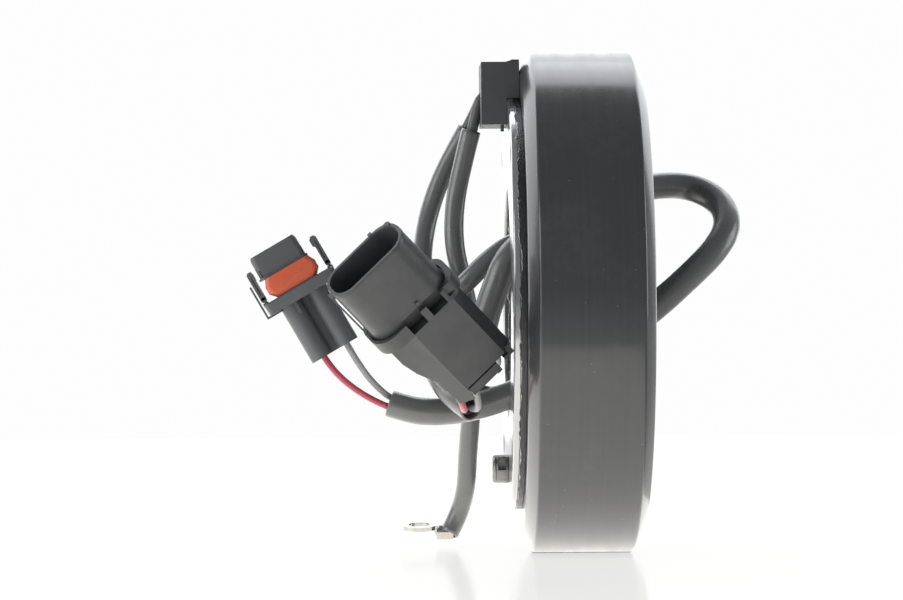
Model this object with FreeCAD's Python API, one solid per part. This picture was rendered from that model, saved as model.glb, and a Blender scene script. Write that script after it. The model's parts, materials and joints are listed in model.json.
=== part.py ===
import FreeCAD, Part
import math
import os

# Field coil of an air-conditioning compressor's electromagnetic clutch, in millimetres.
# X is the coil's axis, pointing at the pulley; Z is up; the origin is the centre of the
# mounting plate's bore on the plate's rear face. The coil stands on its rim at Z = -SHELL_R.

# Driving dimensions of the coil
SHELL_R = 50.0
SHELL_BORE_R = 31.0
PLATE_T = 2.5
SHELL_DEPTH = 24.0
PLATE_R = 41.3
PLATE_BORE_R = 23.5
WALL_OUT = 5.5
WALL_IN = 3.2
WALL_BACK = 3.2
BEVEL_AXIAL = 2.1
BEVEL_RADIAL = 4.0
FIT_GAP = 0.05

BACK_X = PLATE_T
FRONT_X = BACK_X + SHELL_DEPTH
FLOOR_X = BACK_X + WALL_BACK
CHANNEL_IN_R = SHELL_BORE_R + WALL_IN
CHANNEL_OUT_R = SHELL_R - WALL_OUT

# Bobbin, winding and potting inside the shell's channel
FLANGE_T = 1.2
HUB_WALL = 1.2
BOBBIN_FRONT_X = FRONT_X - 2.4
WINDING_OUT_R = 42.0
TAPE_T = 0.4
POTTING_FRONT_X = FRONT_X - 0.5
LEAD_TAIL_R = 0.7
LEAD_TAIL_Y = 4.0
LEAD_TAIL_Z = 43.2
GROMMET_R = 1.9

# Lead block on the top of the plate, and the locating pin below the bore
BLOCK_REAR_X = -5.1
BLOCK_HALF_Y = 8.5
BLOCK_LOW_Z = 35.3
BLOCK_TOP_Z = 47.7
BLOCK_WALL = 1.5
SEALANT_LOW_Z = 45.4
SEALANT_HIGH_Z = BLOCK_TOP_Z - 0.3
FUSE_START = (-2.65, -6.9, 37.8)
FUSE_R = 0.9
FUSE_LENGTH = 9.0
SPLICE_REAR_X = -3.5
SPLICE_FRONT_X = -1.8
SPLICE_R = 0.9
PEG_R = 0.9
PEG_Y = 5.4
PEG_Z = 36.8
PIN_R = 2.85
PIN_SHANK_R = 2.5
PIN_LENGTH = 3.1
PIN_TIP = 0.9
PIN_Z = -33.2
WELD_R = 2.2
WELD_RING_R = 37.8

# Leads: sleeves, wires and their terminals
SLEEVE_D = 3.9
WIDE_SLEEVE_D = 5.4
MOUTH_SLEEVE_D = 5.1
LEAD_WIRE_D = 2.2
THIN_WIRE_D = 1.3
EYE_R = 2.15
EYE_OUT_R = 3.6
EYE_T = 0.8
EYE_AT = (-17.7, 21.8, -46.0)
EYE_TIP = 8.0
CRIMP_DROP = 1.2
EYE_REACH = 4.1
CRIMP_R = 1.7
CRIMP_LENGTH = 3.4

# Centre lines of the leads, in order from the coil
GROUND_WIRE = [(-5.2, 0.0, 40.4), (-6.0, 0.2, 37.8), (-7.1, 0.8, 33.0)]
GROUND_SLEEVE = [
    (-6.9, 0.8, 34.6), (-8.8, 1.6, 27.5), (-10.4, 1.5, 19.5), (-10.6, -0.5, 11.5), (-8.8, 0.5, 4.0),
    (-7.0, 4.0, -4.5), (-6.8, 8.0, -14.0), (-7.1, 11.5, -23.0), (-7.8, 15.0, -31.0),
    (-8.0, 18.6, -38.0), (-9.5, 22.4, -43.7), (-11.6, 21.0, -47.5),
]
FEED_WIRE = [(-5.2, 5.0, 40.4), (-6.1, 5.3, 38.2), (-8.4, 6.2, 34.0)]
FEED_SLEEVE = [
    (-7.6, 6.0, 35.2), (-11.7, 7.2, 28.0), (-14.8, 7.2, 20.6), (-16.5, 5.2, 13.6), (-17.0, 1.0, 7.2),
    (-15.6, -4.6, 1.8), (-12.2, -9.4, 0.6), (-8.4, -11.6, 4.0), (-4.2, -11.4, 8.4), (1.0, -9.8, 12.2),
    (7.4, -7.2, 13.0), (13.2, -6.6, 9.6), (14.6, -6.0, 1.6), (12.0, -5.0, -6.4), (7.0, -3.6, -13.0),
    (1.0, -2.0, -17.6), (-4.6, -0.8, -19.0), (-9.6, -3.2, -15.8), (-13.4, -8.8, -12.6),
    (-14.6, -13.8, -12.0), (-13.4, -17.2, -15.0), (-10.4, -20.2, -18.6), (-8.2, -22.9, -20.0),
]
FEED_MOUTH = [(-14.4, -15.2, -13.0), (-13.0, -18.0, -15.9), (-10.3, -20.2, -18.7), (-7.7, -24.0, -20.4)]
VALVE_SLEEVE = [
    (-6.0, -17.6, -8.2), (-4.8, -15.8, -2.8), (-2.8, -16.8, 3.0), (-0.6, -17.4, 8.6), (5.0, -14.6, 13.6),
    (13.0, -9.0, 18.0), (22.0, -2.0, 21.6), (30.6, 3.0, 23.6), (37.8, 4.2, 23.2), (43.0, -0.4, 20.0),
    (44.0, -6.6, 15.2), (41.0, -10.8, 10.3), (36.0, -13.0, 5.5), (30.2, -14.0, 0.3), (22.9, -13.8, -5.3),
    (14.0, -12.2, -11.0), (6.6, -10.2, -15.4), (-0.2, -9.0, -18.4), (-5.6, -9.0, -20.2),
    (-10.8, -9.8, -21.2), (-15.8, -11.2, -21.4), (-20.2, -11.9, -20.8), (-23.6, -11.5, -19.6),
]
VALVE_RED_WIRE = [
    (-13.6, -10.8, -22.1), (-18.4, -12.2, -21.9), (-23.6, -12.6, -20.5), (-28.8, -15.2, -17.8),
    (-33.2, -17.2, -14.4), (-36.2, -18.0, -10.6), (-38.4, -18.0, -6.8),
]
VALVE_GREY_WIRE = [
    (-12.8, -9.7, -20.4), (-18.0, -10.9, -20.2), (-23.2, -11.4, -18.9), (-27.0, -14.6, -15.4),
    (-29.8, -17.2, -11.4), (-31.9, -18.0, -7.7), (-33.9, -18.0, -4.2),
]
FEED_RED_WIRE = [
    (-10.6, -20.4, -18.2), (-9.0, -24.6, -20.6), (-9.4, -30.4, -20.4), (-10.2, -34.6, -17.9),
    (-13.7, -38.4, -14.2),
]
FEED_GREY_WIRE = [
    (-9.2, -20.6, -19.6), (-6.9, -25.6, -20.9), (-6.5, -30.6, -19.2), (-7.5, -34.6, -15.5),
    (-11.1, -38.4, -11.7),
]
TAIL_WIRES = [
    [
        (-6.3, -17.1, -6.4), (-6.8, -19.8, -11.2), (-6.6, -25.6, -14.6), (-5.2, -31.6, -14.0),
        (-6.0, -35.7, -11.9), (-8.5, -38.4, -9.2),
    ],
    [
        (-4.8, -17.1, -6.4), (-4.6, -20.6, -10.2), (-3.6, -26.2, -12.4), (-2.6, -31.8, -11.4),
        (-3.4, -35.7, -9.4), (-5.9, -38.4, -6.7),
    ],
]

# Big four-way socket: local x runs along its long side, z out of its mouth
SOCKET_MOUTH = (-27.9, -56.0, 8.4)
SOCKET_X = (0.722, 0.0, 0.692)
SOCKET_Z = (-0.574, -0.56, 0.598)
SHROUD_W = 17.4
SHROUD_H = 9.2
SHROUD_WALL = 1.0
SHROUD_LENGTH = 13.8
SHROUD_HOLLOW = 12.6
COLLAR_W = 20.0
COLLAR_H = 11.4
COLLAR_LENGTH = 2.6
SOCKET_LENGTH = 34.0
SOCKET_BODY_W = 17.6
SOCKET_BODY_H = 9.6
SOCKET_REAR_Z = -SOCKET_LENGTH
BLADE_PITCH = 3.6
RUNNING_GAP = 0.1
CLEAR_GAP = 0.35
RETAINER_MID_X = 0.5
RETAINER_W = 7.2

# Small two-way plug with an orange ring seal: local z runs to its nose, local x to its right arm
PLUG_FLANGE = (-41.8, -18.0, 3.3)
PLUG_X = (0.866, 0.0, 0.5)
PLUG_Z = (-0.5, 0.0, 0.866)
NECK_W = 8.0
NECK_H = 4.6
NOSE_W = 9.4
NOSE_H = 5.6
NOSE_BACK_Z = 4.4
NOSE_FRONT_Z = 9.4
SEAL_W = 11.0
SEAL_H = 7.4
LATCH_MID_X = 0.7
PLUG_FLANGE_W = 15.4
PLUG_FLANGE_H = 8.6
PLUG_FLANGE_T = 2.1
BARREL_R = 2.5
BARREL_LEFT_X = -2.1
BARREL_RIGHT_X = 3.1
BARREL_LENGTH = 12.4
ARM_LENGTH = 7.0
ARM_T = 1.1
ARM_W = 4.6
ARM_X = 7.2
ARM_ROOT_Z = 0.9


def vec(point):
    return FreeCAD.Vector(*point)


def ring(x0, x1, outer, inner=0.0, y=0.0, z=0.0):
    """A disc or ring along X."""
    base = FreeCAD.Vector(x0, y, z)
    axis = FreeCAD.Vector(1, 0, 0)
    solid = Part.makeCylinder(outer, x1 - x0, base, axis)
    if inner > 0:
        solid = solid.cut(Part.makeCylinder(inner, x1 - x0, base, axis))
    return solid


def block(x0, x1, y0, y1, z0, z1):
    return Part.makeBox(x1 - x0, y1 - y0, z1 - z0, FreeCAD.Vector(x0, y0, z0))


def turned(profile):
    """Revolve a closed (x, radius) outline about the X axis."""
    points = [FreeCAD.Vector(x, 0, r) for x, r in profile]
    face = Part.Face(Part.makePolygon(points + points[:1]))
    return face.revolve(FreeCAD.Vector(0, 0, 0), FreeCAD.Vector(1, 0, 0), 360)


def rounded(solid, radius, wanted):
    """Fillet the edges whose middle passes the test."""
    edges = [e for e in solid.Edges if wanted(e.valueAt((e.FirstParameter + e.LastParameter) / 2))]
    return solid.makeFillet(radius, edges)


def route_wire(name, points):
    """Straight runs joined by the largest tangent arcs that the runs allow."""
    corners = [vec(p) for p in points]
    edges = []
    radii = []
    start = corners[0]
    for before, corner, after in zip(corners, corners[1:], corners[2:]):
        into = (before - corner).normalize()
        out = (after - corner).normalize()
        half_turn = (math.pi - into.getAngle(out)) / 2
        setback = 0.45 * min((before - corner).Length, (after - corner).Length)
        radius = setback / math.tan(half_turn)
        radii.append(radius)
        first = corner + into * setback
        last = corner + out * setback
        bisector = (into + out).normalize()
        middle = corner + bisector * (radius / math.cos(half_turn) - radius)
        edges.append(Part.LineSegment(start, first).toShape())
        edges.append(Part.Arc(first, middle, last).toShape())
        start = last
    edges.append(Part.LineSegment(start, corners[-1]).toShape())
    wire = Part.Wire(edges)
    tightest = min(radii) if radii else 0.0
    print(f"{name}: length {wire.Length:.1f}, tightest radius {tightest:.1f}")
    return wire


def tube(name, points, diameter):
    wire = route_wire(name, points)
    first = vec(points[0])
    circle = Part.makeCircle(diameter / 2, first, vec(points[1]) - first)
    solid = wire.makePipeShell([Part.Wire(circle)], True, False)
    expected = math.pi * diameter ** 2 / 4 * wire.Length
    print(f"{name}: volume {solid.Volume:.1f}, section times length {expected:.1f}")
    return solid


def placed(shape, origin, x_axis, z_axis):
    """Move a shape from a connector's local frame into the part's frame."""
    x = vec(x_axis)
    z = vec(z_axis)
    turn = FreeCAD.Rotation(x, z.cross(x), z, "ZXY")
    shape.Placement = FreeCAD.Placement(vec(origin), turn)
    return shape


def rounded_slab(width, height, z0, z1, radius):
    """A rectangular slab with rounded corners, along local Z."""
    slab = block(-width / 2, width / 2, -height / 2, height / 2, z0, z1)
    corner = [e for e in slab.Edges if abs(e.tangentAt(e.FirstParameter).z) > 0.9]
    return slab.makeFillet(radius, corner)


def lead_tail_places():
    return [(LEAD_TAIL_Y, LEAD_TAIL_Z), (-LEAD_TAIL_Y, LEAD_TAIL_Z)]


# The coil and its mounting

def coil_shell():
    bevel_r = SHELL_R - BEVEL_RADIAL
    inner_bevel = 0.8
    profile = [
        (BACK_X, SHELL_BORE_R + inner_bevel), (BACK_X, bevel_r), (BACK_X + BEVEL_AXIAL, SHELL_R),
        (FRONT_X - BEVEL_AXIAL, SHELL_R), (FRONT_X, bevel_r), (FRONT_X, CHANNEL_OUT_R),
        (FLOOR_X, CHANNEL_OUT_R), (FLOOR_X, CHANNEL_IN_R), (FRONT_X, CHANNEL_IN_R),
        (FRONT_X, SHELL_BORE_R + inner_bevel), (FRONT_X - inner_bevel, SHELL_BORE_R),
        (BACK_X + inner_bevel, SHELL_BORE_R),
    ]
    shell = turned(profile)
    holes = [ring(BACK_X - 1, FLOOR_X + 1, GROMMET_R + FIT_GAP, 0, y, z) for y, z in lead_tail_places()]
    return shell.cut(holes)


def mounting_plate():
    plate = ring(0, PLATE_T, PLATE_R, PLATE_BORE_R)
    plate = rounded(plate, 0.5, lambda p: abs(p.x) < 1e-6 and math.hypot(p.y, p.z) > PLATE_R - 1)
    pin_hole = ring(-1, PLATE_T + 1, PIN_SHANK_R + FIT_GAP, 0, 0, PIN_Z)
    pegs = [ring(-1, PLATE_T + 1, PEG_R + FIT_GAP, 0, y, PEG_Z) for y in (-PEG_Y, PEG_Y)]
    weld_holes = [ring(-1, PLATE_T + 1, WELD_R, 0, y, z) for y, z in weld_places()]
    return plate.cut([pin_hole] + pegs + weld_holes)


def weld_places():
    angles = [math.radians(a) for a in (0, 50, 130, 180, 230, 310)]
    return [(WELD_RING_R * math.cos(a), WELD_RING_R * math.sin(a)) for a in angles]


def plate_welds():
    """Plug welds that fill the plate's holes to just below its rear face."""
    return Part.makeCompound([ring(0.4, PLATE_T, WELD_R - FIT_GAP, 0, y, z) for y, z in weld_places()])


def bobbin():
    hub_in = CHANNEL_IN_R + FIT_GAP
    hub_out = hub_in + HUB_WALL
    outer = CHANNEL_OUT_R - FIT_GAP
    back = FLOOR_X + FIT_GAP
    profile = [
        (back, hub_in), (back, outer), (back + FLANGE_T, outer), (back + FLANGE_T, hub_out),
        (BOBBIN_FRONT_X - FLANGE_T, hub_out), (BOBBIN_FRONT_X - FLANGE_T, outer),
        (BOBBIN_FRONT_X, outer), (BOBBIN_FRONT_X, hub_in),
    ]
    spool = turned(profile)
    holes = [ring(back - 1, back + FLANGE_T + 1, GROMMET_R, 0, y, z) for y, z in lead_tail_places()]
    return spool.cut(holes)


def winding_span():
    return FLOOR_X + FLANGE_T + 2 * FIT_GAP, BOBBIN_FRONT_X - FLANGE_T - FIT_GAP


def winding():
    x0, x1 = winding_span()
    return ring(x0, x1, WINDING_OUT_R, CHANNEL_IN_R + HUB_WALL + 2 * FIT_GAP)


def insulation_tape():
    x0, x1 = winding_span()
    return ring(x0, x1, WINDING_OUT_R + TAPE_T, WINDING_OUT_R + FIT_GAP)


def potting_resin():
    return ring(BOBBIN_FRONT_X + FIT_GAP, POTTING_FRONT_X, CHANNEL_OUT_R - FIT_GAP, CHANNEL_IN_R + FIT_GAP)


def lead_grommets():
    rings = [ring(BACK_X + 0.1, FLOOR_X, GROMMET_R, LEAD_TAIL_R + FIT_GAP, y, z)
             for y, z in lead_tail_places()]
    return Part.makeCompound(rings)


def coil_lead_tails():
    tails = [ring(-1.6, FLOOR_X + 3.0, LEAD_TAIL_R, 0, y, z) for y, z in lead_tail_places()]
    return Part.makeCompound(tails)


def lead_block():
    over_plate = block(BLOCK_REAR_X, BACK_X - FIT_GAP, -BLOCK_HALF_Y, BLOCK_HALF_Y, BLOCK_LOW_Z, BLOCK_TOP_Z)
    body = rounded(over_plate, 0.8, lambda p: abs(p.x - BLOCK_REAR_X) < 1e-6)
    plate_room = ring(-FIT_GAP, BACK_X + 1, PLATE_R + FIT_GAP)
    pocket = block(BLOCK_REAR_X + BLOCK_WALL, -1.7, -BLOCK_HALF_Y + BLOCK_WALL, BLOCK_HALF_Y - BLOCK_WALL,
                   BLOCK_LOW_Z + BLOCK_WALL, BLOCK_TOP_Z + 1)
    tails = [ring(-3, BACK_X + 1, LEAD_TAIL_R + FIT_GAP, 0, y, z) for y, z in lead_tail_places()]
    wires = [ring(BLOCK_REAR_X - 1, BLOCK_REAR_X + 3, LEAD_WIRE_D / 2 + FIT_GAP, 0, y, z)
             for y, z in wire_exits()]
    body = body.cut([plate_room, pocket] + tails + wires)
    lip_half = BLOCK_HALF_Y - 1
    lip = block(0.6, BACK_X - FIT_GAP, -lip_half, lip_half, BLOCK_TOP_Z - 0.01, BLOCK_TOP_Z + 0.5)
    pegs = [ring(-0.3, PLATE_T - 0.1, PEG_R, 0, y, PEG_Z) for y in (-PEG_Y, PEG_Y)]
    return body.fuse([lip] + pegs).removeSplitter()


def wire_exits():
    return [tuple(GROUND_WIRE[0][1:]), tuple(FEED_WIRE[0][1:])]


def block_sealant():
    return block(BLOCK_REAR_X + BLOCK_WALL + FIT_GAP, -1.75, -BLOCK_HALF_Y + BLOCK_WALL + FIT_GAP,
                 BLOCK_HALF_Y - BLOCK_WALL - FIT_GAP, SEALANT_LOW_Z, SEALANT_HIGH_Z)


def thermal_fuse():
    return Part.makeCylinder(FUSE_R, FUSE_LENGTH, vec(FUSE_START), FreeCAD.Vector(0, 1, 0))


def lead_crimps():
    """Crimp barrels that join the winding's tails to the outgoing leads."""
    splices = [ring(SPLICE_REAR_X, SPLICE_FRONT_X, SPLICE_R, 0, y, z) for y, z in wire_exits()]
    return Part.makeCompound(splices)


def locating_pin():
    profile = [
        (PLATE_T - 0.1, 0), (PLATE_T - 0.1, PIN_SHANK_R), (-FIT_GAP, PIN_SHANK_R), (-FIT_GAP, PIN_R),
        (PIN_TIP - PIN_LENGTH, PIN_R), (-PIN_LENGTH, PIN_R - 0.5), (-PIN_LENGTH, 0),
    ]
    pin = turned(profile)
    pin.translate(FreeCAD.Vector(0, 0, PIN_Z))
    return pin


# Leads

def ring_terminal():
    """Crimped eye on the ground lead: a flat ring on a barrel, tipped a little off level."""
    eye = Part.makeCylinder(EYE_OUT_R, EYE_T, FreeCAD.Vector(0, 0, -EYE_T / 2))
    neck = block(EYE_OUT_R - 1, EYE_REACH, -1.5, 1.5, -EYE_T / 2, EYE_T / 2)
    along = FreeCAD.Vector(1, 0, 0)
    barrel = Part.makeCylinder(CRIMP_R, CRIMP_LENGTH, FreeCAD.Vector(EYE_REACH - 0.5, 0, -CRIMP_DROP), along)
    bore_end = FreeCAD.Vector(EYE_REACH + 0.3, 0, -CRIMP_DROP)
    bore = Part.makeCylinder(LEAD_WIRE_D / 2, CRIMP_LENGTH, bore_end, along)
    hole = Part.makeCylinder(EYE_R, 4, FreeCAD.Vector(0, 0, -2))
    shape = eye.fuse([neck, barrel]).cut([hole, bore]).removeSplitter()
    shape.Placement = FreeCAD.Placement(vec(EYE_AT), FreeCAD.Rotation(along, EYE_TIP))
    return shape


# Big four-way socket

def socket(shape):
    return placed(shape, SOCKET_MOUTH, SOCKET_X, SOCKET_Z)


def socket_housing():
    collar_z = -SHROUD_LENGTH - COLLAR_LENGTH
    shroud = shroud_tube(SHROUD_W, SHROUD_H, -SHROUD_LENGTH - 1, 0)
    collar = rounded_slab(COLLAR_W, COLLAR_H, collar_z, -SHROUD_LENGTH, 4.0)
    ribs = [block(3.0, 4.2, SHROUD_H / 2 - 0.4, SHROUD_H / 2 + 0.6, -6.0, 0.2),
            block(SHROUD_W / 2 - 0.4, SHROUD_W / 2 + 0.6, -0.6, 0.6, -6.0, 0.2)]
    whole = shroud.fuse([collar, socket_body(collar_z)] + ribs)
    hollow = shroud_tube(SHROUD_W - 2 * SHROUD_WALL, SHROUD_H - 2 * SHROUD_WALL, -SHROUD_HOLLOW, 1)
    windows = [block(x, x + 3.6, -COLLAR_H / 2 - 1, 1.0 - COLLAR_H / 2, collar_z + 0.4, 1 - SHROUD_LENGTH)
               for x in (-3.3, 1.8)]
    rear_pocket = block(-7.0, SOCKET_BODY_W / 2 - 1.4, -2.4, 3.2, SOCKET_REAR_Z - 1, SOCKET_REAR_Z + 4.2)
    blade_slots = [block(x - 1.05, x + 1.05, -0.45, 0.45, SOCKET_REAR_Z + 4, 1 - SHROUD_HOLLOW)
                   for x in blade_places()]
    tongue_slot = retainer_tongue(RUNNING_GAP)
    return socket(whole.cut([hollow, rear_pocket, tongue_slot] + windows + blade_slots).removeSplitter())


def shroud_tube(width, height, z0, z1):
    return rounded_slab(width, height, z0, z1, height / 2 - 0.6)


def socket_body(front_z):
    """Box behind the collar, one long edge cut away by two chamfers."""
    w = SOCKET_BODY_W / 2
    h = SOCKET_BODY_H / 2
    outline = [(-w, -0.8), (2.1 - w, -3.0), (5.4 - w, -h), (w, -h), (w, h), (-w, h)]
    points = [FreeCAD.Vector(x, y, -SOCKET_LENGTH) for x, y in outline]
    face = Part.Face(Part.makePolygon(points + points[:1]))
    body = face.extrude(FreeCAD.Vector(0, 0, SOCKET_LENGTH + front_z + 0.01))
    return rounded(body, 0.5, lambda p: p.x > w - 0.01 and abs(abs(p.y) - h) < 0.01)


def blade_places():
    return [BLADE_PITCH * k for k in (-1.5, -0.5, 0.5, 1.5)]


def socket_blades():
    blades = [block(x - 1.0, x + 1.0, -0.4, 0.4, SOCKET_REAR_Z + 4.4, -6.4) for x in blade_places()]
    return socket(Part.makeCompound(blades))


def socket_wire_seals():
    seals = [Part.makeCylinder(1.5, 3.8, FreeCAD.Vector(x, 0, SOCKET_REAR_Z + 0.3)) for x in blade_places()]
    return socket(Part.makeCompound(seals))


def retainer_tongue(gap):
    half = RETAINER_W / 2 - 0.6 + gap
    x = RETAINER_MID_X
    return block(x - half, x + half, -4.0 - gap, -3.3 + gap, SOCKET_REAR_Z - 1, SOCKET_REAR_Z + 4.0 + gap)


def socket_retainer():
    """Secondary lock: a thumb bar behind the housing on a tongue that slides in the housing's slot."""
    half = RETAINER_W / 2
    z1 = SOCKET_REAR_Z - CLEAR_GAP
    bar = block(RETAINER_MID_X - half, RETAINER_MID_X + half, -SOCKET_BODY_H / 2, -3.1, z1 - 2.2, z1)
    return socket(bar.fuse(retainer_tongue(0)).removeSplitter())


def socket_keeper():
    """Terminal keeper across the shroud's floor, around the blades."""
    slab = shroud_tube(SHROUD_W - 2 * SHROUD_WALL - 0.4, SHROUD_H - 2 * SHROUD_WALL - 0.4,
                       -SHROUD_HOLLOW + 0.05, -SHROUD_HOLLOW + 2.0)
    slots = [block(x - 1.1, x + 1.1, -0.5, 0.5, -SHROUD_HOLLOW - 1, 4 - SHROUD_HOLLOW)
             for x in blade_places()]
    return socket(slab.cut(slots))


# Small two-way plug

def plug(shape):
    return placed(shape, PLUG_FLANGE, PLUG_X, PLUG_Z)


def plug_housing():
    flange = rounded_slab(PLUG_FLANGE_W, PLUG_FLANGE_H, -PLUG_FLANGE_T, 0, 1.0)
    flange.translate(FreeCAD.Vector(LATCH_MID_X, 0, 0))
    neck = rounded_slab(NECK_W, NECK_H, 0, NOSE_BACK_Z + 0.2, 1.0)
    nose = rounded_slab(NOSE_W, NOSE_H, NOSE_BACK_Z, NOSE_FRONT_Z, 1.1)
    lip = rounded_slab(NOSE_W + 1.2, NOSE_H + 0.8, NOSE_BACK_Z, NOSE_BACK_Z + 0.6, 1.3)
    ends = barrel_ends()
    barrels = [Part.makeCylinder(BARREL_R, BARREL_LENGTH, FreeCAD.Vector(x, y, z)) for x, y, z in ends]
    cores = [Part.makeCylinder(BARREL_R - 0.7, 5.6, FreeCAD.Vector(x, y, z - 1)) for x, y, z in ends]
    contacts = [block(x - 0.9, x + 0.9, -0.6, 0.6, -PLUG_FLANGE_T - 6.0, NOSE_FRONT_Z + 1)
                for x in contact_places()]
    return plug(flange.fuse([neck, nose, lip] + barrels).cut(cores + contacts).removeSplitter())


def barrel_ends():
    return [(x, 0, -PLUG_FLANGE_T - BARREL_LENGTH) for x in (BARREL_LEFT_X, BARREL_RIGHT_X)]


def contact_places():
    return [-2.0, 2.6]


def plug_seal():
    """Orange ring seal round the plug's neck, ridged so that its middle is its widest part."""
    steps = [(SEAL_W - 2.0, SEAL_H - 2.0, 0.15), (SEAL_W, SEAL_H, 1.5), (SEAL_W, SEAL_H, 2.9),
             (SEAL_W - 2.0, SEAL_H - 2.0, 4.2)]
    outlines = [slab_outline(w, h, z, 1.6) for w, h, z in steps]
    body = Part.makeLoft(outlines, True, True)
    room = rounded_slab(NECK_W + 2 * FIT_GAP, NECK_H + 2 * FIT_GAP, -1, 6, 1.0 + FIT_GAP)
    return plug(body.cut(room))


def slab_outline(width, height, z, radius):
    """Closed outline of a rounded rectangle, as a wire."""
    slab = rounded_slab(width, height, z, z + 1, radius)
    floor = min(slab.Faces, key=lambda f: f.CenterOfMass.z)
    return floor.OuterWire


def plug_contacts():
    contacts = [block(x - 0.8, x + 0.8, -0.5, 0.5, -PLUG_FLANGE_T - 5.8, NOSE_FRONT_Z - 0.6)
                for x in contact_places()]
    return plug(Part.makeCompound(contacts))


def plug_wire_seals():
    seals = [Part.makeCylinder(BARREL_R - 0.75, 3.4, FreeCAD.Vector(x, y, z + 0.3))
             for x, y, z in barrel_ends()]
    return plug(Part.makeCompound(seals))


def plug_arm(side):
    """Latch arm beside the seal: a springy blade with a round root and an inward hook at its tip."""
    x_in = ARM_X - ARM_T / 2
    half = ARM_W / 2
    blade = block(x_in, x_in + ARM_T, -half, half, ARM_ROOT_Z, ARM_LENGTH)
    root_end = FreeCAD.Vector(ARM_X, -half, ARM_ROOT_Z)
    root = Part.makeCylinder(ARM_T / 2, ARM_W, root_end, FreeCAD.Vector(0, 1, 0))
    hook = block(x_in - 0.8, x_in + 0.2, -half, half, ARM_LENGTH - 1.6, ARM_LENGTH - 0.6)
    arm = blade.fuse([root, hook]).removeSplitter()
    if side < 0:
        arm = arm.mirror(FreeCAD.Vector(0, 0, 0), FreeCAD.Vector(1, 0, 0))
    arm.translate(FreeCAD.Vector(LATCH_MID_X, 0, 0))
    return plug(arm)


def cord_parts():
    return {
        "ground_wire": tube("ground_wire", GROUND_WIRE, LEAD_WIRE_D),
        "ground_sleeve": tube("ground_sleeve", GROUND_SLEEVE, SLEEVE_D),
        "feed_wire": tube("feed_wire", FEED_WIRE, LEAD_WIRE_D),
        "feed_sleeve": tube("feed_sleeve", FEED_SLEEVE, SLEEVE_D),
        "feed_end_sleeve": tube("feed_end_sleeve", FEED_MOUTH, MOUTH_SLEEVE_D),
        "valve_sleeve": tube("valve_sleeve", VALVE_SLEEVE, WIDE_SLEEVE_D),
        "valve_wire_red": tube("valve_wire_red", VALVE_RED_WIRE, THIN_WIRE_D),
        "valve_wire_grey": tube("valve_wire_grey", VALVE_GREY_WIRE, THIN_WIRE_D),
        "feed_wire_red": tube("feed_wire_red", FEED_RED_WIRE, THIN_WIRE_D),
        "feed_wire_grey": tube("feed_wire_grey", FEED_GREY_WIRE, THIN_WIRE_D),
        "valve_tail_wires": Part.makeCompound([tube("valve_tail_wires", p, THIN_WIRE_D) for p in TAIL_WIRES]),
    }


def all_parts():
    parts = {
        "coil_shell": coil_shell(),
        "mounting_plate": mounting_plate(),
        "plate_welds": plate_welds(),
        "bobbin": bobbin(),
        "winding": winding(),
        "insulation_tape": insulation_tape(),
        "potting_resin": potting_resin(),
        "lead_grommets": lead_grommets(),
        "coil_lead_tails": coil_lead_tails(),
        "lead_block": lead_block(),
        "block_sealant": block_sealant(),
        "thermal_fuse": thermal_fuse(),
        "lead_crimps": lead_crimps(),
        "locating_pin": locating_pin(),
        "ring_terminal": ring_terminal(),
        "socket_housing": socket_housing(),
        "socket_blades": socket_blades(),
        "socket_wire_seals": socket_wire_seals(),
        "socket_retainer": socket_retainer(),
        "socket_keeper": socket_keeper(),
        "plug_housing": plug_housing(),
        "plug_seal": plug_seal(),
        "plug_contacts": plug_contacts(),
        "plug_wire_seals": plug_wire_seals(),
        "plug_arm_left": plug_arm(-1),
        "plug_arm_right": plug_arm(1),
    }
    parts.update(cord_parts())
    return parts


os.makedirs("parts", exist_ok=True)
for node, shape in all_parts().items():
    if not shape.isValid():
        print("invalid:", node)
    shape.exportStep(f"parts/{node}.step")
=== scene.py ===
import bpy
import json
import math
import random
from mathutils import Matrix, Quaternion, Vector

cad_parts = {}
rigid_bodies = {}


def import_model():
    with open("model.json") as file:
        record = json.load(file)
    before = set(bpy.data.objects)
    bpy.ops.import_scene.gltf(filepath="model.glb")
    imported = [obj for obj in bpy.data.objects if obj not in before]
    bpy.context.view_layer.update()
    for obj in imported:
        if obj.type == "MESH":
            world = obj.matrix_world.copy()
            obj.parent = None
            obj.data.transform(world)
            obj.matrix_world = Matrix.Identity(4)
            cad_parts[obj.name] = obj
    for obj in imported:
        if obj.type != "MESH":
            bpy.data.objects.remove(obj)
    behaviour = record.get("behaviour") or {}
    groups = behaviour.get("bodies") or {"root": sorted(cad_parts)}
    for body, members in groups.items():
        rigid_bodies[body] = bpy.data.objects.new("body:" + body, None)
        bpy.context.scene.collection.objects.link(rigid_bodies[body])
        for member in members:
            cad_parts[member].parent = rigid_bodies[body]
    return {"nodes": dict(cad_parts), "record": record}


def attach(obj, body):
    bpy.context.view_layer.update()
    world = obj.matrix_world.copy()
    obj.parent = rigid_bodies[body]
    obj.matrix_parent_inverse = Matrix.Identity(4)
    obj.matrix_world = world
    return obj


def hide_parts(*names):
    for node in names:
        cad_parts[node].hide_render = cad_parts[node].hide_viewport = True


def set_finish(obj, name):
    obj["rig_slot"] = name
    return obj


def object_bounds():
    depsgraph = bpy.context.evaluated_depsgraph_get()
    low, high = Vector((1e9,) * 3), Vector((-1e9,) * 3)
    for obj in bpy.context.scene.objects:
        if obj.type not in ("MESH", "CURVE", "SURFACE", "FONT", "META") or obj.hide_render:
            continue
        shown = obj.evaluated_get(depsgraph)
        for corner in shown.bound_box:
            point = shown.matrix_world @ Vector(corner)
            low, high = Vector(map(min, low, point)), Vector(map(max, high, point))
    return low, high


# Field coil of an electromagnetic clutch. Lengths are written in millimetres and made metres by mm().
MM = 0.001
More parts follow.
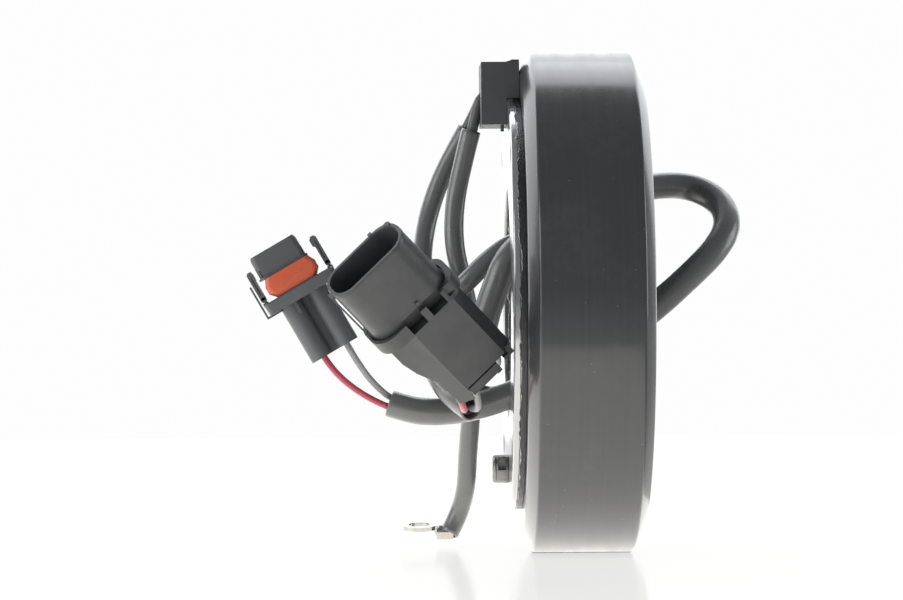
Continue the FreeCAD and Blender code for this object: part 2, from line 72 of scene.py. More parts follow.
X_AXIS = Vector((1, 0, 0))
Z_AXIS = Vector((0, 0, 1))


def mm(*values):
    return Vector(values) * MM


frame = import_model()
cad_low, cad_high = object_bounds()
nodes = frame["nodes"]


# Camera

CAMERA_PLACE = mm(-23.2, -693, 0)
CAMERA_AIM = mm(-11.1, 0, 0.66)
CAMERA_ROLL = -0.007
CAMERA_LENS = 138.1


def make_camera():
    camera = bpy.data.objects.new("camera", bpy.data.cameras.new("camera"))
    bpy.context.scene.collection.objects.link(camera)
    camera.data.lens = CAMERA_LENS
    camera.data.sensor_width = 36
    camera.data.clip_start = 0.01
    camera.location = CAMERA_PLACE
    camera.rotation_mode = "QUATERNION"
    aim = (CAMERA_AIM - CAMERA_PLACE).to_track_quat("-Z", "Y")
    camera.rotation_quaternion = aim @ Quaternion(Z_AXIS, CAMERA_ROLL)
    bpy.context.scene.camera = camera


make_camera()


# Leads: the same routes as the CAD solids, in millimetres

SLEEVE_D = 3.9
WIDE_SLEEVE_D = 5.4
MOUTH_SLEEVE_D = 5.1
LEAD_WIRE_D = 2.2
THIN_WIRE_D = 1.3
SLEEVE_WALL = 0.45
BLOCK_RUN_IN = mm(1.3, 0, 1.6)

GROUND_WIRE = [(-5.2, 0.0, 40.4), (-6.0, 0.2, 37.8), (-7.1, 0.8, 33.0)]
GROUND_SLEEVE = [
    (-6.9, 0.8, 34.6), (-8.8, 1.6, 27.5), (-10.4, 1.5, 19.5), (-10.6, -0.5, 11.5), (-8.8, 0.5, 4.0),
    (-7.0, 4.0, -4.5), (-6.8, 8.0, -14.0), (-7.1, 11.5, -23.0), (-7.8, 15.0, -31.0),
    (-8.0, 18.6, -38.0), (-9.5, 22.4, -43.7), (-11.6, 21.0, -47.5),
]
FEED_WIRE = [(-5.2, 5.0, 40.4), (-6.1, 5.3, 38.2), (-8.4, 6.2, 34.0)]
FEED_SLEEVE = [
    (-7.6, 6.0, 35.2), (-11.7, 7.2, 28.0), (-14.8, 7.2, 20.6), (-16.5, 5.2, 13.6), (-17.0, 1.0, 7.2),
    (-15.6, -4.6, 1.8), (-12.2, -9.4, 0.6), (-8.4, -11.6, 4.0), (-4.2, -11.4, 8.4), (1.0, -9.8, 12.2),
    (7.4, -7.2, 13.0), (13.2, -6.6, 9.6), (14.6, -6.0, 1.6), (12.0, -5.0, -6.4), (7.0, -3.6, -13.0),
    (1.0, -2.0, -17.6), (-4.6, -0.8, -19.0), (-9.6, -3.2, -15.8), (-13.4, -8.8, -12.6),
    (-14.6, -13.8, -12.0), (-13.4, -17.2, -15.0), (-10.4, -20.2, -18.6), (-8.2, -22.9, -20.0),
]
FEED_MOUTH = [(-14.4, -15.2, -13.0), (-13.0, -18.0, -15.9), (-10.3, -20.2, -18.7), (-7.7, -24.0, -20.4)]
VALVE_SLEEVE = [
    (-6.0, -17.6, -8.2), (-4.8, -15.8, -2.8), (-2.8, -16.8, 3.0), (-0.6, -17.4, 8.6), (5.0, -14.6, 13.6),
    (13.0, -9.0, 18.0), (22.0, -2.0, 21.6), (30.6, 3.0, 23.6), (37.8, 4.2, 23.2), (43.0, -0.4, 20.0),
    (44.0, -6.6, 15.2), (41.0, -10.8, 10.3), (36.0, -13.0, 5.5), (30.2, -14.0, 0.3), (22.9, -13.8, -5.3),
    (14.0, -12.2, -11.0), (6.6, -10.2, -15.4), (-0.2, -9.0, -18.4), (-5.6, -9.0, -20.2),
    (-10.8, -9.8, -21.2), (-15.8, -11.2, -21.4), (-20.2, -11.9, -20.8), (-23.6, -11.5, -19.6),
]
VALVE_RED_WIRE = [
    (-13.6, -10.8, -22.1), (-18.4, -12.2, -21.9), (-23.6, -12.6, -20.5), (-28.8, -15.2, -17.8),
    (-33.2, -17.2, -14.4), (-36.2, -18.0, -10.6), (-38.4, -18.0, -6.8),
]
VALVE_GREY_WIRE = [
    (-12.8, -9.7, -20.4), (-18.0, -10.9, -20.2), (-23.2, -11.4, -18.9), (-27.0, -14.6, -15.4),
    (-29.8, -17.2, -11.4), (-31.9, -18.0, -7.7), (-33.9, -18.0, -4.2),
]
FEED_RED_WIRE = [
    (-10.6, -20.4, -18.2), (-9.0, -24.6, -20.6), (-9.4, -30.4, -20.4), (-10.2, -34.6, -17.9),
    (-13.7, -38.4, -14.2),
]
FEED_GREY_WIRE = [
    (-9.2, -20.6, -19.6), (-6.9, -25.6, -20.9), (-6.5, -30.6, -19.2), (-7.5, -34.6, -15.5),
    (-11.1, -38.4, -11.7),
]
TAIL_WIRES = [
    [
        (-6.3, -17.1, -6.4), (-6.8, -19.8, -11.2), (-6.6, -25.6, -14.6), (-5.2, -31.6, -14.0),
        (-6.0, -35.7, -11.9), (-8.5, -38.4, -9.2),
    ],
    [
        (-4.8, -17.1, -6.4), (-4.6, -20.6, -10.2), (-3.6, -26.2, -12.4), (-2.6, -31.8, -11.4),
        (-3.4, -35.7, -9.4), (-5.9, -38.4, -6.7),
    ],
]


def link(obj, body="coil"):
    if obj.name not in bpy.context.scene.collection.objects:
        bpy.context.scene.collection.objects.link(obj)
    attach(obj, body)
    return obj


def spline_curve(name, route):
    """The route's smooth NURBS spline."""
    data = bpy.data.curves.new(name, "CURVE")
    data.dimensions = "3D"
    spline = data.splines.new("NURBS")
    spline.points.add(len(route) - 1)
    for point, place in zip(spline.points, route):
        point.co = (*mm(*place), 1)
    spline.order_u = 3
    spline.use_endpoint_u = True
    spline.resolution_u = 12
    return bpy.data.objects.new(name, data)


def smooth_path(route):
    """Points along the route's own spline, in order."""
    bare = spline_curve("path", route)
    mesh = bpy.data.meshes.new_from_object(bare)
    points = [v.co.copy() for v in mesh.vertices]
    bpy.data.objects.remove(bare)
    bpy.data.meshes.remove(mesh)
    return points


def tube_frames(points):
    """A centre and two cross directions at each point, turned as little as possible along the way."""
    frames = []
    side = None
    for i, point in enumerate(points):
        ahead = (points[min(i + 1, len(points) - 1)] - points[max(i - 1, 0)]).normalized()
        if side is None:
            side = ahead.orthogonal().normalized()
        side = (side - ahead * side.dot(ahead)).normalized()
        frames.append((point, side, ahead.cross(side)))
    return frames


def ring_faces(count, turns, closed=False):
    """Quads between neighbouring rings of vertices."""
    faces = []
    for r in range(turns if closed else turns - 1):
        here = r * count
        there = (r + 1) % turns * count
        for k in range(count):
            nxt = (k + 1) % count
            faces.append((here + k, here + nxt, there + nxt, there + k))
    return faces


def mesh_object(name, vertices, faces, smooth=True):
    mesh = bpy.data.meshes.new(name)
    mesh.from_pydata([tuple(v) for v in vertices], [], faces)
    mesh.update()
    if smooth:
        mesh.polygons.foreach_set("use_smooth", [True] * len(mesh.polygons))
    return bpy.data.objects.new(name, mesh)


SIDES = 32
WIRE_SIDES = 20


def hollow_tube(name, path, outer, wall, uneven=0.0, seed=1):
    """A sleeve with open mouths: outer skin, rolled lip and inner skin as one closed mesh."""
    noise = random.Random(seed)
    waves = [(noise.uniform(0, 6.28), noise.uniform(150, 420)) for _ in range(3)]
    frames = tube_frames(path)
    rings = []
    run = 0.0
    last = len(frames) - 1

    def add_ring(frame_at, radius, flat):
        centre, side, up = frame_at
        for k in range(SIDES):
            a = 2 * math.pi * k / SIDES
            across = side * math.cos(a) * radius * (1 + flat)
            upward = up * math.sin(a) * radius * (1 - flat)
            rings.append(centre + across + upward)

    flats = []
    for i, f in enumerate(frames):
        if i:
            run += (f[0] - frames[i - 1][0]).length
        flats.append(uneven * sum(math.sin(phase + run * rate) for phase, rate in waves) / 3)
    outer_m = outer * MM
    inner_m = (outer - wall) * MM
    lip = wall * MM / 2
    add_ring(frames[0], outer_m - lip * 0.6, flats[0])
    for i, f in enumerate(frames):
        shift = Vector((0, 0, 0))
        if i == 0:
            shift = (frames[1][0] - f[0]).normalized() * lip * 0.6
        if i == last:
            shift = (frames[last - 1][0] - f[0]).normalized() * lip * 0.6
        add_ring((f[0] + shift, f[1], f[2]), outer_m, flats[i])
    add_ring(frames[last], outer_m - lip * 0.6, flats[last])
    add_ring(frames[last], inner_m + lip * 0.4, flats[last])
    for i in range(last, -1, -1):
        add_ring(frames[i], inner_m, flats[i])
    add_ring(frames[0], inner_m + lip * 0.4, flats[0])
    return mesh_object(name, rings, ring_faces(SIDES, len(rings) // SIDES, closed=True))


def solid_tube(name, path, radius):
    """A wire with flat closed ends."""
    rings = []
    for centre, side, up in tube_frames(path):
        for k in range(WIRE_SIDES):
            a = 2 * math.pi * k / WIRE_SIDES
            rings.append(centre + (side * math.cos(a) + up * math.sin(a)) * radius * MM)
    turns = len(rings) // WIRE_SIDES
    faces = ring_faces(WIRE_SIDES, turns)
    faces.append(tuple(reversed(range(WIRE_SIDES))))
    faces.append(tuple(range((turns - 1) * WIRE_SIDES, turns * WIRE_SIDES)))
    return mesh_object(name, rings, faces)


def make_leads():
    """The lead pieces by node, the paths they follow, and the two tail wires that share one node."""
    made = {}
    paths = {}
    wires = {
        "ground_wire": (GROUND_WIRE, LEAD_WIRE_D, "black_wire"),
        "feed_wire": (FEED_WIRE, LEAD_WIRE_D, "black_wire"),
        "valve_wire_red": (VALVE_RED_WIRE, THIN_WIRE_D, "red_wire"),
        "valve_wire_grey": (VALVE_GREY_WIRE, THIN_WIRE_D, "grey_wire"),
        "feed_wire_red": (FEED_RED_WIRE, THIN_WIRE_D, "red_wire"),
        "feed_wire_grey": (FEED_GREY_WIRE, THIN_WIRE_D, "grey_wire"),
    }
    for node, (route, diameter, slot) in wires.items():
        paths[node] = smooth_path(route)
        run_in = [paths[node][0] + BLOCK_RUN_IN] if slot == "black_wire" else []
        made[node] = link(solid_tube(node + "_looks", run_in + paths[node], diameter / 2))
        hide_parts(node)
        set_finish(made[node], slot)
    tails = [link(solid_tube(f"valve_tail_{i}", smooth_path(r), THIN_WIRE_D / 2))
             for i, r in enumerate(TAIL_WIRES)]
    for tail in tails:
        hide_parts("valve_tail_wires")
        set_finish(tail, "grey_wire")
    sleeves = {
        "ground_sleeve": (GROUND_SLEEVE, SLEEVE_D, 0.04, 3),
        "feed_sleeve": (FEED_SLEEVE, SLEEVE_D, 0.04, 5),
        "feed_end_sleeve": (FEED_MOUTH, MOUTH_SLEEVE_D, 0.0, 7),
        "valve_sleeve": (VALVE_SLEEVE, WIDE_SLEEVE_D, 0.03, 9),
    }
    for node, (route, diameter, uneven, seed) in sleeves.items():
        paths[node] = smooth_path(route)
        made[node] = link(hollow_tube(node + "_looks", paths[node], diameter / 2, SLEEVE_WALL, uneven, seed))
        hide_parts(node)
        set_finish(made[node], "sleeve_vinyl")
    return made, paths, tails


leads, lead_paths, tail_wires = make_leads()


# Materials

class Paint:
    """A node material on one Principled shader, with helpers for procedural detail."""

    def __init__(self, name, color, rough, metal=0.0, **sockets):
        self.material = bpy.data.materials.new(name)
        self.material.use_nodes = True
        self.tree = self.material.node_tree
        self.shader = self.tree.nodes["Principled BSDF"]
        self.shader.inputs["Base Color"].default_value = (*color, 1)
        self.shader.inputs["Roughness"].default_value = rough
        self.shader.inputs["Metallic"].default_value = metal
        for socket, value in sockets.items():
            self.shader.inputs[socket.replace("_", " ")].default_value = value
        self.place = self.node("ShaderNodeTexCoord").outputs["Object"]
        self.height = None
        self.color = None

    def node(self, kind, **settings):
        made = self.tree.nodes.new(kind)
        for key, value in settings.items():
            setattr(made, key, value)
        return made

    def join(self, source, target):
        self.tree.links.new(source, target)

    def mapped(self, scale):
        mapping = self.node("ShaderNodeMapping")
        mapping.inputs["Scale"].default_value = scale
        self.join(self.place, mapping.inputs["Vector"])
        return mapping.outputs["Vector"]

    def noise(self, scale, detail=4.0, rough=0.6):
        """Noise of that many cells per metre along each axis."""
        made = self.node("ShaderNodeTexNoise")
        made.inputs["Scale"].default_value = 1.0
        made.inputs["Detail"].default_value = detail
        made.inputs["Roughness"].default_value = rough
        self.join(self.mapped(scale), made.inputs["Vector"])
        return made.outputs["Fac"]

    def spots(self, scale):
        made = self.node("ShaderNodeTexVoronoi")
        made.inputs["Scale"].default_value = 1.0
        self.join(self.mapped(scale), made.inputs["Vector"])
        return made.outputs["Distance"]

    def ramp(self, source, low, high, out_low=0.0, out_high=1.0):
        made = self.node("ShaderNodeMapRange")
        made.interpolation_type = "SMOOTHSTEP"
        limits = {"From Min": low, "From Max": high, "To Min": out_low, "To Max": out_high}
        for socket, value in limits.items():
            made.inputs[socket].default_value = value
        self.join(source, made.inputs["Value"])
        return made.outputs["Result"]

    def math(self, operation, a, b):
        made = self.node("ShaderNodeMath", operation=operation)
        for socket, value in zip(made.inputs, (a, b)):
            if isinstance(value, (int, float)):
                socket.default_value = value
            else:
                self.join(value, socket)
        return made.outputs[0]

    def axis(self, letter):
        split = self.node("ShaderNodeSeparateXYZ")
        self.join(self.place, split.inputs[0])
        return split.outputs[letter]

    def band(self, letter, centre, half, soft):
        """1 inside a slab across one axis, in metres, 0 outside."""
        away = self.math("ABSOLUTE", self.math("SUBTRACT", self.axis(letter), centre), 0)
        return self.ramp(away, half, half + soft, 1.0, 0.0)

    def tint(self, factor, color, strength=1.0):
        """Blend the colour so far towards another one by a factor."""
        mix = self.node("ShaderNodeMix", data_type="RGBA")
        self.join(self.math("MULTIPLY", factor, strength), mix.inputs[0])
        if self.color is None:
            mix.inputs[6].default_value = self.shader.inputs["Base Color"].default_value
        else:
            self.join(self.color, mix.inputs[6])
        mix.inputs[7].default_value = (*color, 1)
        self.color = mix.outputs[2]
        self.join(self.color, self.shader.inputs["Base Color"])
        return self

    def roughen(self, factor, low, high):
        self.join(self.ramp(factor, 0.3, 0.7, low, high), self.shader.inputs["Roughness"])
        return self

    def bump(self, factor, distance, strength=1.0):
        made = self.node("ShaderNodeBump")
        made.inputs["Distance"].default_value = distance
        made.inputs["Strength"].default_value = strength
        self.join(factor, made.inputs["Height"])
        if self.height is not None:
            self.join(self.height, made.inputs["Normal"])
        self.height = made.outputs["Normal"]
        self.join(self.height, self.shader.inputs["Normal"])
        return self


def black_paint():
    """Gloss paint over a turned rim: faint lines round it, dust specks and a few scuffs."""
    p = Paint("black_paint", (0.03, 0.031, 0.034), 0.24, Coat_Weight=0.25, Coat_Roughness=0.1)
    p.tint(p.noise((1400, 12, 12), 3), (0.045, 0.046, 0.05), 0.7)
    p.tint(p.ramp(p.spots((390, 390, 390)), 0.03, 0.06, 1, 0), (0.35, 0.34, 0.32), 0.3)
    p.tint(p.ramp(p.noise((60, 60, 60), 6, 0.75), 0.5, 0.75), (0.06, 0.06, 0.062), 0.5)
    scuffs = p.ramp(p.noise((45, 260, 700), 6, 0.75), 0.69, 0.76)
    p.tint(scuffs, (0.18, 0.18, 0.18), 0.4)
    p.roughen(p.noise((400, 60, 60), 4), 0.2, 0.27)
    p.bump(p.noise((2200, 25, 25), 2), 0.000004, 0.4)
    p.bump(p.noise((600, 600, 600), 3), 0.00001, 0.4)
    return p.material


def plate_steel():
    """Zinc-grey steel: bright sheared band along the rim's rear half, dark torn band beside it."""
    p = Paint("plate_steel", (0.42, 0.42, 0.425), 0.2, metal=0.9)
    p.tint(p.noise((120, 120, 120), 6, 0.7), (0.36, 0.36, 0.365), 0.9)
    p.tint(p.ramp(p.noise((700, 700, 700), 5, 0.8), 0.62, 0.72), (0.5, 0.48, 0.46), 0.4)
    wander = p.ramp(p.noise((300, 260, 260), 4, 0.7), 0.3, 0.7, -0.00035, 0.00035)
    torn = p.ramp(p.math("ADD", p.axis("X"), wander), 0.00115, 0.00135)
    p.tint(torn, (0.06, 0.06, 0.062), 0.9)
    p.roughen(p.noise((300, 300, 300), 5), 0.1, 0.26)
    p.bump(p.noise((900, 900, 900), 4), 0.00003, 0.5)
    p.bump(p.math("MULTIPLY", torn, p.noise((2600, 900, 900), 5, 0.8)), 0.0002, 0.9)
    return p.material


def block_plastic():
    p = Paint("block_plastic", (0.05, 0.052, 0.056), 0.52, Specular_IOR_Level=0.4)
    p.tint(p.noise((220, 220, 220), 6, 0.7), (0.085, 0.087, 0.09), 0.8)
    p.tint(p.ramp(p.noise((90, 700, 900), 5, 0.8), 0.66, 0.72), (0.22, 0.22, 0.22), 0.5)
    p.roughen(p.noise((400, 400, 400), 4), 0.42, 0.62)
    p.bump(p.noise((2600, 2600, 2600), 3), 0.00003, 0.6)
    return p.material


def sleeve_vinyl():
    """Extruded vinyl: satin, with drawn-out dimples and a slight bloom."""
    p = Paint("sleeve_vinyl", (0.09, 0.093, 0.096), 0.32, Coat_Weight=0.5, Coat_Roughness=0.2)
    p.tint(p.noise((160, 160, 160), 5, 0.7), (0.115, 0.114, 0.114), 0.8)
    p.tint(p.ramp(p.noise((900, 900, 900), 4, 0.8), 0.64, 0.72), (0.2, 0.195, 0.19), 0.3)
    p.roughen(p.noise((350, 350, 350), 4), 0.26, 0.44)
    p.bump(p.noise((500, 500, 500), 4), 0.00005, 0.5)
    p.bump(p.noise((3000, 3000, 3000), 2), 0.000015, 0.4)
    return p.material


def moulded(name, color, light, rough):
    """Moulded nylon: fine spark-eroded grain, flow marks and rubbed patches."""
    p = Paint(name, color, rough, Specular_IOR_Level=0.5)
    p.tint(p.noise((180, 180, 180), 6, 0.7), light, 0.8)
    p.tint(p.ramp(p.noise((800, 500, 700), 6, 0.8), 0.66, 0.74), tuple(c * 2.4 for c in light), 0.35)
    p.roughen(p.noise((250, 250, 250), 5), rough - 0.07, rough + 0.08)
    p.bump(p.noise((4200, 4200, 4200), 2), 0.00002, 0.5)
    p.bump(p.noise((120, 120, 120), 2), 0.00006, 0.4)
    return p.material


def rubber(name, color, light, rough=0.42, subsurface=0.0):
    p = Paint(name, color, rough, Sheen_Weight=0.1, Subsurface_Weight=subsurface, Subsurface_Scale=0.001)
    p.tint(p.noise((400, 400, 400), 5, 0.7), light, 0.7)
    p.roughen(p.noise((500, 500, 500), 4), rough - 0.08, rough + 0.1)
    p.bump(p.noise((900, 900, 900), 4), 0.00003, 0.5)
    return p.material


def metal(name, color, light, rough, grain=900):
    p = Paint(name, color, rough, metal=1.0)
    p.tint(p.noise((grain, grain, grain), 5, 0.7), light, 0.8)
    p.tint(p.ramp(p.noise((260, 260, 260), 6, 0.8), 0.6, 0.75), tuple(c * 0.45 for c in color), 0.5)
    p.roughen(p.noise((grain / 2, grain / 2, grain / 2), 4), rough - 0.06, rough + 0.14)
    p.bump(p.noise((grain, grain / 4, grain), 3), 0.00002, 0.5)
    return p.material


def pin_steel():
    """Drawn steel: streaks along the pin and a dull oxide between them."""
    p = Paint("pin_steel", (0.1, 0.1, 0.1), 0.3, metal=0.8)
    p.tint(p.noise((160, 2600, 2600), 4, 0.7), (0.3, 0.3, 0.29), 0.9)
    p.tint(p.ramp(p.noise((500, 500, 500), 5, 0.8), 0.58, 0.7), (0.05, 0.05, 0.05), 0.6)
    p.roughen(p.noise((700, 700, 700), 4), 0.24, 0.44)
    p.bump(p.noise((200, 3200, 3200), 3), 0.00004, 0.6)
    return p.material


def resin():
    """Poured resin: dark, glossy, gently uneven, with pin holes."""
    p = Paint("resin", (0.012, 0.012, 0.014), 0.16, Coat_Weight=0.4, Coat_Roughness=0.08)
    p.tint(p.ramp(p.spots((420, 420, 420)), 0.05, 0.12, 1, 0), (0.06, 0.06, 0.06), 0.8)
    p.roughen(p.noise((90, 90, 90), 4), 0.1, 0.3)
    p.bump(p.noise((110, 110, 110), 3), 0.0003, 0.6)
    p.bump(p.ramp(p.spots((420, 420, 420)), 0.05, 0.14), 0.00008, 0.6)
    return p.material


MATERIALS = {
    "black_paint": black_paint(),
    "plate_steel": plate_steel(),
    "weld_steel": metal("weld_steel", (0.2, 0.19, 0.19), (0.32, 0.28, 0.24), 0.4),
    "bobbin_nylon": moulded("bobbin_nylon", (0.08, 0.08, 0.08), (0.12, 0.12, 0.12), 0.5),
    "enamelled_copper": metal("enamelled_copper", (0.5, 0.2, 0.08), (0.7, 0.32, 0.14), 0.25),
    "tape": rubber("tape", (0.5, 0.4, 0.15), (0.62, 0.5, 0.2)),
    "resin": resin(),
    "seal_rubber": rubber("seal_rubber", (0.04, 0.04, 0.042), (0.07, 0.07, 0.07), 0.5),
    "block_plastic": block_plastic(),
    "terminal_metal": metal("terminal_metal", (0.6, 0.5, 0.3), (0.75, 0.68, 0.5), 0.3),
    "pin_steel": pin_steel(),
    "tinned_terminal": metal("tinned_terminal", (0.3, 0.295, 0.27), (0.5, 0.49, 0.45), 0.12, 1200),
    "socket_plastic": moulded("socket_plastic", (0.03, 0.032, 0.034), (0.052, 0.055, 0.058), 0.42),
    "plug_plastic": moulded("plug_plastic", (0.07, 0.074, 0.08), (0.1, 0.105, 0.112), 0.44),
    "orange_seal": rubber("orange_seal", (0.5, 0.07, 0.026), (0.62, 0.14, 0.07), 0.34, 0.12),
    "black_wire": rubber("black_wire", (0.05, 0.05, 0.054), (0.09, 0.09, 0.095), 0.4),
    "sleeve_vinyl": sleeve_vinyl(),
    "red_wire": rubber("red_wire", (0.34, 0.025, 0.06), (0.45, 0.07, 0.12), 0.36),
    "grey_wire": rubber("grey_wire", (0.2, 0.2, 0.21), (0.3, 0.3, 0.31), 0.36),
}
NODE_SLOTS = {s["node"]: s["material_slot"] for s in frame["record"]["subparts"]}


def paint(obj, name):
    obj.data.materials.clear()
    obj.data.materials.append(MATERIALS[name])


def paint_nodes():
    for node, obj in nodes.items():
        for slot in obj.material_slots:
            slot.material = MATERIALS[NODE_SLOTS[node]]


paint_nodes()
for lead in list(leads.values()) + tail_wires:
    paint(lead, lead["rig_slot"])


# Building blocks for the solid pieces; local lengths are millimetres

LATHE_SIDES = 240


def rounded_rectangle(width, height, radius, x=0.0, y=0.0, steps=8):
    """Corner points of a rounded rectangle, anticlockwise."""
    points = []
    for quarter, (sx, sy) in enumerate([(1, 1), (-1, 1), (-1, -1), (1, -1)]):
        cx = sx * (width / 2 - radius)
        cy = sy * (height / 2 - radius)
        for i in range(steps + 1):
            a = math.pi / 2 * (quarter + i / steps)
            points.append((x + cx + radius * math.cos(a), y + cy + radius * math.sin(a)))
    return points


def turned_area(outline):
    """Twice the outline's area, negative where it runs clockwise."""
    return sum(ax * by - bx * ay for (ax, ay), (bx, by) in zip(outline, outline[1:] + outline[:1]))


def loft(name, levels):
    """Closed solid through outlines [(z, points)] with equal numbers of points, from low z to high."""
    if turned_area(levels[0][1]) < 0:
        levels = [(z, outline[::-1]) for z, outline in levels]
    count = len(levels[0][1])
    vertices = [mm(x, y, z) for z, outline in levels for x, y in outline]
    faces = ring_faces(count, len(levels))
    faces.append(tuple(reversed(range(count))))
    faces.append(tuple(range((len(levels) - 1) * count, len(levels) * count)))
    return mesh_object(name, vertices, faces, smooth=False)


def prism(name, outline, z0, z1):
    return loft(name, [(z0, outline), (z1, outline)])


def side_prism(name, outline, y0, y1):
    """Closed solid with an (x, z) outline, from y0 to y1."""
    made = prism(name, outline, -y1, -y0)
    made.data.transform(Matrix.Rotation(math.radians(90), 4, "X"))
    return made


def box(x0, x1, y0, y1, z0, z1):
    return prism("box", [(x0, y0), (x1, y0), (x1, y1), (x0, y1)], z0, z1)


def rod(radius, start, end, sides=40):
    """Cylinder between two points in millimetres."""
    axis = Vector(end) - Vector(start)
    angles = [2 * math.pi * k / sides for k in range(sides)]
    made = prism("rod", [(radius * math.cos(a), radius * math.sin(a)) for a in angles], 0, axis.length)
    made.data.transform(Matrix.Translation(mm(*start)) @ axis.to_track_quat("Z", "Y").to_matrix().to_4x4())
    return made


def soft_corners(points, radius, steps=3):
    """Closed outline with each corner replaced by a small arc."""
    out = []
    count = len(points)
    for i, point in enumerate(points):
        here = Vector(point)
        to_last = Vector(points[i - 1]) - here
        to_next = Vector(points[(i + 1) % count]) - here
        reach = min(radius, to_last.length * 0.45, to_next.length * 0.45)
        start = here + to_last.normalized() * reach
        end = here + to_next.normalized() * reach
        for k in range(steps + 1):
            t = k / steps
            out.append(tuple(start * (1 - t) ** 2 + here * 2 * t * (1 - t) + end * t * t))
    return out


def lathe(name, profile, radius=0.25, y=0.0, z=0.0, sides=LATHE_SIDES):
    """Closed (x, r) profile turned about an axis along X."""
    outline = soft_corners(profile, radius)
    vertices = []
    for k in range(sides):
        a = 2 * math.pi * k / sides
        vertices += [mm(x, y + r * math.cos(a), z + r * math.sin(a)) for x, r in outline]
    return mesh_object(name, vertices, ring_faces(len(outline), sides, closed=True))


def combine(base, others, operation):
    """Boolean of the base with each of the others, which are used up."""
    scene = bpy.context.scene.collection.objects
    scene.link(base)
    for other in others:
        scene.link(other)
        modifier = base.modifiers.new("join", "BOOLEAN")
        modifier.operation = operation
        modifier.solver = "EXACT"
        modifier.object = other
    apply_modifiers(base)
    for other in others:
        bpy.data.objects.remove(other)
    scene.unlink(base)
    return base


def apply_modifiers(obj):
    bpy.context.view_layer.update()
    ready = bpy.data.meshes.new_from_object(obj.evaluated_get(bpy.context.evaluated_depsgraph_get()))
    obj.modifiers.clear()
    obj.data = ready


def soften(obj, width, segments=2, angle=32):
    """Rounded edges where faces meet at more than the given angle in degrees."""
    scene = bpy.context.scene.collection.objects
    scene.link(obj)
    bevel = obj.modifiers.new("bevel", "BEVEL")
    bevel.width = width * MM
    bevel.segments = segments
    bevel.limit_method = "ANGLE"
    bevel.angle_limit = math.radians(angle)
    bevel.harden_normals = True
    obj.data.polygons.foreach_set("use_smooth", [True] * len(obj.data.polygons))
    obj.data.set_sharp_from_angle(angle=math.radians(angle))
    apply_modifiers(obj)
    scene.unlink(obj)
    return obj


def placing(origin, x_axis, z_axis):
    """Matrix from a piece's own axes to the shared frame."""
    x = Vector(x_axis).normalized()
    z = Vector(z_axis)
    z = (z - x * z.dot(x)).normalized()
    turn = Matrix((x, z.cross(x), z)).transposed().to_4x4()
    return Matrix.Translation(mm(*origin)) @ turn


def stand_in(obj, node, place=None, body="coil"):
    """Show the mesh in the CAD node's stead."""
    if place is not None:
        obj.data.transform(place)
    obj.name = node + "_looks"
    link(obj, body)
    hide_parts(node)
    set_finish(obj, NODE_SLOTS[node])
    paint(obj, NODE_SLOTS[node])
    return obj


# Coil shell, mounting plate, pin and lead block

SHELL_R = 50.0
SHELL_BORE_R = 31.0
PLATE_T = 2.5
FRONT_X = 26.5
PLATE_R = 41.3
PLATE_BORE_R = 23.5
CHANNEL_FLOOR_X = 5.7
CHANNEL_IN_R = 34.2
CHANNEL_OUT_R = 44.5
BEVEL_AXIAL = 2.1
BEVEL_RADIAL = 4.0
GROMMET_R = 1.95
LEAD_TAILS = [(-4.0, 43.2), (4.0, 43.2)]
PIN_R = 2.85
PIN_SHANK_R = 2.5
PIN_LENGTH = 3.1
PIN_Z = -33.2
PEG_R = 0.9
PEG_Y = 5.4
PEG_Z = 36.8
WELD_R = 2.2
WELD_RING_R = 37.8
WELD_ANGLES = (0, 50, 130, 180, 230, 310)
BLOCK_REAR_X = -5.1
BLOCK_HALF_Y = 8.5
BLOCK_LOW_Z = 35.3
BLOCK_TOP_Z = 47.7
BLOCK_WALL = 1.5
LEAD_EXITS = [(0.0, 40.4), (5.0, 40.4)]


def make_shell():
    bevel_r = SHELL_R - BEVEL_RADIAL
    bore_bevel = 0.8
    profile = [
        (PLATE_T, SHELL_BORE_R + bore_bevel), (PLATE_T, bevel_r), (PLATE_T + BEVEL_AXIAL, SHELL_R),
        (FRONT_X - BEVEL_AXIAL, SHELL_R), (FRONT_X, bevel_r), (FRONT_X, CHANNEL_OUT_R),
        (CHANNEL_FLOOR_X, CHANNEL_OUT_R), (CHANNEL_FLOOR_X, CHANNEL_IN_R), (FRONT_X, CHANNEL_IN_R),
        (FRONT_X, SHELL_BORE_R + bore_bevel), (FRONT_X - bore_bevel, SHELL_BORE_R),
        (PLATE_T + bore_bevel, SHELL_BORE_R),
    ]
    shell = lathe("shell", profile, 0.45)
    holes = [rod(GROMMET_R, (PLATE_T - 1, y, z), (CHANNEL_FLOOR_X + 1, y, z)) for y, z in LEAD_TAILS]
    shell = combine(shell, holes, "DIFFERENCE")
    shell.data.set_sharp_from_angle(angle=math.radians(40))
    stand_in(shell, "coil_shell")


